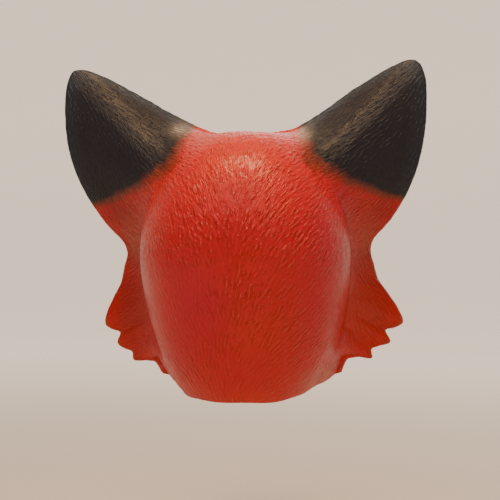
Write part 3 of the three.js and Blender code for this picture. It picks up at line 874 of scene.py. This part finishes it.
def blend(tree, share, first, second):
    """Mixes two colours by a share."""
    node = tree.nodes.new("ShaderNodeMix")
    node.data_type = "RGBA"
    for slot, value in ((0, share), (6, first), (7, second)):
        feed(tree, node.inputs[slot], value)
    return node.outputs[2]


def layered(tree, base, *layers):
    """Lays colours over a base, one after the other, each by its own share."""
    for share, colour in layers:
        base = blend(tree, share, base, colour)
    return base


def eased(tree, value, low, high, start=0.0, end=1.0):
    """A smooth step from start to end as the value goes from low to high."""
    node = tree.nodes.new("ShaderNodeMapRange")
    node.interpolation_type = "SMOOTHSTEP"
    for socket, number in zip(node.inputs[:5], (value, low, high, start, end)):
        feed(tree, socket, number)
    return node.outputs[0]


def read(tree, name, output="Fac"):
    """An attribute of the mesh."""
    node = tree.nodes.new("ShaderNodeAttribute")
    node.attribute_name = name
    return node.outputs[output]


def noise(tree, vector, scale, detail=3.0):
    """A cloud noise on the given coordinates."""
    node = tree.nodes.new("ShaderNodeTexNoise")
    feed(tree, node.inputs["Vector"], vector)
    node.inputs["Scale"].default_value = scale
    node.inputs["Detail"].default_value = detail
    node.inputs["Roughness"].default_value = NOISE_ROUGHNESS
    return node.outputs["Fac"]


def times(tree, value, factor):
    """A value times a factor."""
    return maths(tree, "MULTIPLY", value, factor)


def total(tree, *parts):
    """The sum of several values."""
    result = parts[0]
    for part in parts[1:]:
        result = maths(tree, "ADD", result, part)
    return result


# %% Helpers for whole trees
def tell(name, tree):
    """Prints how many nodes a tree has by now."""
    print(f"{name}: {len(tree.nodes)} nodes")


def relief_on(tree, shader, height, distance):
    """Feeds a height to the shader's normal through a Bump node."""
    bump = tree.nodes.new("ShaderNodeBump")
    bump.inputs["Distance"].default_value = distance
    tree.links.new(height, bump.inputs["Height"])
    tree.links.new(bump.outputs["Normal"], shader.inputs["Normal"])


def group_of(name, vectors, floats, outputs):
    """An empty node group with named sockets."""
    tree = bpy.data.node_groups.new(name, "ShaderNodeTree")
    rows = (("INPUT", "Vector", vectors), ("INPUT", "Float", floats), ("OUTPUT", "Float", outputs))
    for way, kind, labels in rows:
        for label in labels:
            tree.interface.new_socket(label, in_out=way, socket_type="NodeSocket" + kind)
    return tree, tree.nodes.new("NodeGroupInput"), tree.nodes.new("NodeGroupOutput")


def place_group(tree, group, **values):
    """A copy of a group in a material, with its own values."""
    node = tree.nodes.new("ShaderNodeGroup")
    node.node_tree = group
    for label, value in values.items():
        feed(tree, node.inputs[label], value)
    return node.outputs


# %% Fine combing: bands along the fur, in two sizes
combing, given, result = group_of(
    "fine_combing", ("Vector", "Across"), ("Cell", "Bands"), ("Height", "Fine"))
for label, scale, frequency in (("Height", 1.0, 1.0), ("Fine", 1.9, 1.15)):
    gabor = combing.nodes.new("ShaderNodeTexGabor")
    gabor.gabor_type = "3D"
    combing.links.new(given.outputs["Vector"], gabor.inputs["Vector"])
    feed(combing, gabor.inputs["Scale"], times(combing, given.outputs["Cell"], scale))
    feed(combing, gabor.inputs["Frequency"], times(combing, given.outputs["Bands"], frequency))
    gabor.inputs["Anisotropy"].default_value = 0.86
    turned = [s for s in gabor.inputs if s.name == "Orientation" and s.type == "VECTOR"][0]
    combing.links.new(given.outputs["Across"], turned)
    combing.links.new(gabor.outputs["Value"], result.inputs[label])
tell("fine combing", combing)

# %% Mottling: the uneven coat
mottling, given, result = group_of("mottling", ("Vector",), ("Size",), ("Cloud", "Speck"))
for label, finer, detail in (("Cloud", 1.0, 4.0), ("Speck", 22.0, 2.0)):
    node = mottling.nodes.new("ShaderNodeTexNoise")
    mottling.links.new(given.outputs["Vector"], node.inputs["Vector"])
    feed(mottling, node.inputs["Scale"], times(mottling, given.outputs["Size"], finer))
    node.inputs["Detail"].default_value = detail
    mottling.links.new(node.outputs["Fac"], result.inputs[label])
tell("mottling", mottling)

# %% Colours, as linear values
RED = (0.54, 0.013, 0.015)
CRIMSON = (0.51, 0.010, 0.026)
# Orange paint, also used for the painted sheen on the crown
ORANGE_AND_SHEEN = (0.60, 0.034, 0.012)
# Tan paint, also used for painted sheen at the waists and on the swelling's edges
TAN_AND_SHEEN = (0.38, 0.078, 0.046)
# Painted shade: the dark red of the strokes' valleys and of the shaded recesses
SHADE_RED = (0.15, 0.004, 0.005)
# Painted highlight: the paler red on the strokes' tops
RIDGE_HIGHLIGHT = (0.70, 0.075, 0.048)
SLATE = (0.019, 0.0175, 0.023)
# Worn slate with painted sheen, paler and cooler
WORN_AND_SHEEN_SLATE = (0.070, 0.115, 0.165)
OLIVE = (0.075, 0.038, 0.018)
PALE = (0.50, 0.42, 0.36)
CREAM = (0.74, 0.60, 0.44)
# Painted shade in the cream's valleys
CREAM_SHADE = (0.36, 0.22, 0.13)
OCHRE = (0.36, 0.062, 0.012)
NOSE_BLACK = (0.012, 0.011, 0.011)
BARE_LATEX = (0.50, 0.30, 0.17)
BARE_LATEX_DARK = (0.34, 0.18, 0.09)
PAPER = (0.56, 0.48, 0.40, 1.0)
PAPER_GLOW = (0.90, 0.75, 0.61, 1.0)
PALE_ROOM = (0.86, 0.78, 0.70, 1.0)


def new_material(name):
    """A material with its tree, its Principled shader and its Object coordinates."""
    material = bpy.data.materials.new(name)
    material.use_nodes = True
    tree = material.node_tree
    shader = tree.nodes["Principled BSDF"]
    coordinates = tree.nodes.new("ShaderNodeTexCoord").outputs["Object"]
    return material, tree, shader, coordinates


# %% The scale and the strength of each effect of the paint
FUR_CELLS, FUR_BANDS = 115.0, 2.2
DASH_FROM, DASH_TO = 0.53, 0.61
GROOVE_FROM, GROOVE_TO = 0.40, 0.48
BREAK_SCALE, BREAK_FROM, BREAK_TO = 170.0, 0.41, 0.56
COAT_SIZE, BARE_SIZE = 13.0, 9.0
CLOUDED_CRIMSON, CLOUDED_ORANGE, TAN_AND_SHEEN_SHARE = 1.1, 0.9, 0.8
FURROW_BAND, FURROW_FROM, FURROW_TO = 2.4, 0.02, 0.5
# Painted shade in the strokes' valleys, and painted highlight on their ridges
VALLEY_SHADE_BROAD, VALLEY_SHADE_FINE, CREAM_SHADE_MORE = 0.16, 0.17, 1.3
RIDGE_HIGHLIGHT_ON_FUR, RIDGE_HIGHLIGHT_EVEN = 0.30, 0.30
RAGGED_SCALE, RAGGED_MM, RAGGED_COMB_MM = 120.0, 16.0, 5.0
CREAM_RAGGED, SLATE_RAGGED, DARK_RAGGED = 0.5, 0.55, 0.12
CREAM_SOFT_MM, DARK_SOFT_MM = (-4.0, 4.0), (-1.0, 1.0)
SLATE_SOFT_MM, FADE_SOFT_MM = (-3.0, 6.0), (-13.0, -1.0)
FADE_SHARE, WEAR_AND_SHEEN_SHARE, TIP_SHARE = 0.75, 0.9, 0.5
# Wear and painted sheen on the slate, along the dashes and all over
DASH_WEAR_AND_SHEEN, EVEN_WEAR_AND_SHEEN = 0.8, 0.22
DASH_PALE, EVEN_PALE = 0.6, 0.35
ROUGHNESS, ROUGH_CLOUD, ROUGH_DASH, ROUGH_SLATE = 0.37, 0.25, 0.06, 0.14
GLAZE, GLAZE_OFF_SLATE = 0.10, 0.07
BUMP_BAND, BUMP_FINE, BUMP_DASH, BUMP_GROOVE, BUMP_SPECK = 0.25, 0.6, 0.70, 0.10, 0.12
BUMP_LEAST, BUMP_DEPTH, BARE_BUMP_DEPTH = 0.1, 0.0011, 0.0006

# %% The painted outside
painted, tree, shader, coordinates = new_material("painted_latex")
fur = read(tree, "fur")
combed_here = read(tree, "combing")
across_fur = read(tree, "across_fur", "Vector")
fine = place_group(tree, combing, Vector=coordinates, Across=across_fur, Cell=FUR_CELLS, Bands=FUR_BANDS)
broken = eased(tree, noise(tree, coordinates, BREAK_SCALE, 1.0), BREAK_FROM, BREAK_TO)
dash = times(tree, eased(tree, fine["Height"], DASH_FROM, DASH_TO), broken)
groove = times(tree, eased(tree, fine["Height"], GROOVE_FROM, GROOVE_TO, 1.0, 0.0), broken)
coat = place_group(tree, mottling, Vector=coordinates, Size=COAT_SIZE)
cloud = maths(tree, "SUBTRACT", coat["Cloud"], 0.5)
tint_and_sheen = tree.nodes.new("ShaderNodeSeparateXYZ")
tree.links.new(read(tree, "tint_and_sheen", "Vector"), tint_and_sheen.inputs[0])
crimson = maths(tree, "ADD", tint_and_sheen.outputs[0], times(tree, cloud, CLOUDED_CRIMSON), clamp=True)
orange_and_sheen = maths(tree, "SUBTRACT", tint_and_sheen.outputs[1], times(tree, cloud, CLOUDED_ORANGE), clamp=True)
tan_and_sheen = times(tree, tint_and_sheen.outputs[2], TAN_AND_SHEEN_SHARE)
band = maths(tree, "SUBTRACT", fine["Height"], 0.5)
furrow = total(tree, fur, times(tree, band, FURROW_BAND))
# Painted shade: darker red in the valleys between the strokes, broad and fine
broad_valley_shade = times(tree, eased(tree, furrow, FURROW_FROM, FURROW_TO, 1.0, 0.0), VALLEY_SHADE_BROAD)
valley_shade = times(tree, total(tree, broad_valley_shade, times(tree, groove, VALLEY_SHADE_FINE)), combed_here)
# Painted highlight: paler red on the tops of the strokes
on_fur = total(tree, times(tree, fur, RIDGE_HIGHLIGHT_ON_FUR), RIDGE_HIGHLIGHT_EVEN)
ridge = times(tree, times(tree, dash, on_fur), combed_here)
# Over the red: tints with painted sheen, painted shade under the ears and ruffs and in the valleys, then
# painted highlight on the ridges
base = layered(tree, RED, (crimson, CRIMSON), (orange_and_sheen, ORANGE_AND_SHEEN), (tan_and_sheen, TAN_AND_SHEEN),
               (read(tree, "painted_shade"), SHADE_RED), (valley_shade, SHADE_RED), (ridge, RIDGE_HIGHLIGHT))
tell("red latex", tree)

# %% Cream, slate, tips and the dark nose over the red
spread = maths(tree, "SUBTRACT", noise(tree, coordinates, RAGGED_SCALE), 0.5)
ragged = total(tree, times(tree, spread, RAGGED_MM), times(tree, band, RAGGED_COMB_MM))
cream_edge = total(tree, read(tree, "cream_mm"), times(tree, ragged, CREAM_RAGGED))
cream_share = eased(tree, cream_edge, *CREAM_SOFT_MM)
# Painted shade: the cream is darker in the strokes' valleys
deeper_shade = maths(tree, "MULTIPLY", valley_shade, CREAM_SHADE_MORE, clamp=True)
cream_colour = blend(tree, deeper_shade, CREAM, CREAM_SHADE)
slate_edge = total(tree, read(tree, "slate_mm"), times(tree, ragged, SLATE_RAGGED))
back_only = maths(tree, "SUBTRACT", 1.0, cream_share)
fade = times(tree, times(tree, eased(tree, slate_edge, *FADE_SOFT_MM), back_only), FADE_SHARE)
slate_share = times(tree, eased(tree, slate_edge, *SLATE_SOFT_MM), back_only)
# The slate's upper edges: wear with painted sheen
wear_and_sheen = times(tree, read(tree, "worn_and_sheen_edge"), total(tree, times(tree, dash, DASH_WEAR_AND_SHEEN), EVEN_WEAR_AND_SHEEN))
slate_colour = blend(tree, times(tree, wear_and_sheen, WEAR_AND_SHEEN_SHARE), SLATE, WORN_AND_SHEEN_SLATE)
streak = total(tree, times(tree, dash, DASH_PALE), EVEN_PALE)
pale = times(tree, read(tree, "pale_root"), streak)
tips = times(tree, read(tree, "tuft_tip"), TIP_SHARE)
dark_edge = total(tree, read(tree, "dark_mm"), times(tree, ragged, DARK_RAGGED))
dark = eased(tree, dark_edge, *DARK_SOFT_MM)
base = layered(tree, base, (cream_share, cream_colour), (fade, OLIVE), (slate_share, slate_colour),
               (pale, PALE), (tips, OCHRE), (dark, NOSE_BLACK))
tree.links.new(base, shader.inputs["Base Color"])
tell("all its colours", tree)

# %% Gloss and relief of the outside
rough = total(tree, ROUGHNESS, times(tree, cloud, ROUGH_CLOUD))
rough = maths(tree, "SUBTRACT", rough, times(tree, dash, ROUGH_DASH))
rough = total(tree, rough, times(tree, slate_share, ROUGH_SLATE))
tree.links.new(rough, shader.inputs["Roughness"])
shader.inputs["IOR"].default_value = 1.45
shader.inputs["Specular IOR Level"].default_value = 0.24
glaze = maths(tree, "SUBTRACT", GLAZE, times(tree, slate_share, GLAZE_OFF_SLATE))
tree.links.new(glaze, shader.inputs["Coat Weight"])
shader.inputs["Coat Roughness"].default_value = 0.14
height = total(tree, times(tree, fine["Height"], BUMP_BAND), times(tree, fine["Fine"], BUMP_FINE),
               times(tree, dash, BUMP_DASH))
height = maths(tree, "SUBTRACT", height, times(tree, groove, BUMP_GROOVE))
height = times(tree, height, total(tree, times(tree, combed_here, 1 - BUMP_LEAST), BUMP_LEAST))
height = total(tree, height, times(tree, coat["Speck"], BUMP_SPECK))
relief_on(tree, shader, height, BUMP_DEPTH)
tell("painted latex", tree)

# %% The bare inside
bare, tree, shader, coordinates = new_material("bare_latex")
coat = place_group(tree, mottling, Vector=coordinates, Size=BARE_SIZE)
thin = eased(tree, coat["Cloud"], 0.3, 0.7)
tree.links.new(blend(tree, thin, BARE_LATEX, BARE_LATEX_DARK), shader.inputs["Base Color"])
tree.links.new(total(tree, 0.55, times(tree, coat["Speck"], 0.2)), shader.inputs["Roughness"])
relief_on(tree, shader, total(tree, coat["Speck"], coat["Cloud"]), BARE_BUMP_DEPTH)
tell("bare latex", tree)

# %% Give each face its side's material
skin.materials.clear()
skin.materials.append(painted)
skin.materials.append(bare)
corner = np.empty(len(skin.loops), np.int32)
skin.loops.foreach_get("vertex_index", corner)
starts = np.empty(len(skin.polygons), np.int32)
skin.polygons.foreach_get("loop_start", starts)
OUTER_LEAST = 0.35
outer_share = np.add.reduceat(outer_side[corner], starts) / np.diff(np.append(starts, len(corner)))
inner_face = outer_share < OUTER_LEAST
skin.polygons.foreach_set("material_index", inner_face.astype(np.int32))
print("inner faces:", int(inner_face.sum()), "of", len(starts))
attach(mask, "root")
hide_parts("latex_skin")

# %% [markdown]
# ## Floor, light and camera
# A pale floor that curves up into a backdrop keeps the outline clear. A small warm lamp hangs
# overhead, a wide soft panel stands high on the camera's side, and a weak one lights the face.
# With pale surroundings as well, the crown shines and the underside goes deep red, helped by painted
# sheen on the crown and painted shade under the ears.

# %% The floor
FLOOR_Z = -0.42
SWEEP_START, SWEEP_RADIUS, SWEEP_TOP = -2.4, 0.9, 5.0
FLOOR_FRONT, FLOOR_HALF_WIDTH = 6.0, 9.0
GLOW_NEAR, GLOW_FAR = (0.5, 0.22), (2.4, 0.92)


def sweep_profile(count=24):
    """A level floor, a quarter circle and an upright wall, as y and z."""
    t = np.linspace(0, np.pi / 2, count)
    back = SWEEP_START - SWEEP_RADIUS * np.sin(t)
    curve = np.stack([back, FLOOR_Z + SWEEP_RADIUS * (1 - np.cos(t))], axis=-1)
    return np.concatenate([[(FLOOR_FRONT, FLOOR_Z)], curve, [(back[-1], SWEEP_TOP)]])


profile = sweep_profile()
sweep_points = [(x_end, a, b) for x_end in (FLOOR_HALF_WIDTH, -FLOOR_HALF_WIDTH)
                for a, b in profile]
steps = len(profile)
sweep_faces = [(k, k + 1, k + 1 + steps, k + steps) for k in range(steps - 1)]
floor_mesh = bpy.data.meshes.new("studio_floor")
floor_mesh.from_pydata(sweep_points, [], sweep_faces)
floor_mesh.shade_smooth()
floor = new_object("studio_floor", floor_mesh)
paper, tree, shader, coordinates = new_material("pale_paper")
shader.inputs["Base Color"].default_value = PAPER
shader.inputs["Roughness"].default_value = 0.9
# The paper glows: painted light, dim near the head and brighter far off, so the backdrop looks lit
shader.inputs["Emission Color"].default_value = PAPER_GLOW
distance = tree.nodes.new("ShaderNodeVectorMath")
distance.operation = "LENGTH"
tree.links.new(coordinates, distance.inputs[0])
glow = eased(tree, distance.outputs["Value"], GLOW_NEAR[0], GLOW_FAR[0], GLOW_NEAR[1], GLOW_FAR[1])
tree.links.new(glow, shader.inputs["Emission Strength"])
floor_mesh.materials.append(paper)
tell("paper", tree)


# %% The lights: name, place, size, watts and colour
HEAD_MIDDLE = (0.0, 0.0, -0.10)
PANELS = (
    ("overhead", (-0.05, 0.20, 0.90), (0.42, 0.28), 13.0, (1.0, 0.62, 0.31)),
    ("camera_side", (0.15, 1.7, 1.75), (2.2, 1.6), 27.0, (1.0, 0.91, 0.82)),
    ("face_side", (-0.5, -1.6, 0.6), (1.4, 1.0), 9.0, (1.0, 0.97, 0.94)),
)


def panel(name, at, size, watts, colour):
    """A soft rectangular light that looks at the head's middle."""
    data = bpy.data.lights.new(name, "AREA")
    data.shape = "RECTANGLE"
    data.size, data.size_y = size
    data.energy = watts
    data.color = colour
    light = new_object(name, data)
    light.location = at
    light.rotation_euler = (Vector(HEAD_MIDDLE) - Vector(at)).to_track_quat("-Z", "Y").to_euler()
    return light


for row in PANELS:
    print("light:", panel(*row).name)

# %% The surroundings, brighter where the camera looks straight at them
WORLD_LIGHT, WORLD_SEEN = 0.24, 0.64
world = bpy.data.worlds.new("studio")
world.use_nodes = True
tree = world.node_tree
seen = tree.nodes.new("ShaderNodeLightPath").outputs["Is Camera Ray"]
sky = tree.nodes["Background"]
sky.inputs["Color"].default_value = PALE_ROOM
tree.links.new(total(tree, WORLD_LIGHT, times(tree, seen, WORLD_SEEN)), sky.inputs["Strength"])
bpy.context.scene.world = world

# %% The camera
AIM = Vector((-0.0025, -0.015, -0.1075))
CAMERA_YAW = math.radians(5.0)
CAMERA_ROLL = math.radians(0.9)
CAMERA_DISTANCE = 0.9
FOCAL_PIXELS = 947.37
IMAGE_PIXELS = 500
SENSOR_MM = 36.0
ahead = Vector((math.sin(CAMERA_YAW), -math.cos(CAMERA_YAW), 0))
right = ahead.cross(Vector((0, 0, 1)))
above = right.cross(ahead)
turned_right = right * math.cos(CAMERA_ROLL) - above * math.sin(CAMERA_ROLL)
turned_up = right * math.sin(CAMERA_ROLL) + above * math.cos(CAMERA_ROLL)
camera_data = bpy.data.cameras.new("camera")
camera_data.sensor_width = SENSOR_MM
camera_data.lens = FOCAL_PIXELS * SENSOR_MM / IMAGE_PIXELS
camera = new_object("camera", camera_data)
stand_point = AIM - ahead * CAMERA_DISTANCE
facing = Matrix((turned_right, turned_up, -ahead)).transposed().to_4x4()
camera.matrix_world = Matrix.Translation(stand_point) @ facing
bpy.context.scene.camera = camera
print("camera at", [round(v, 4) for v in stand_point])
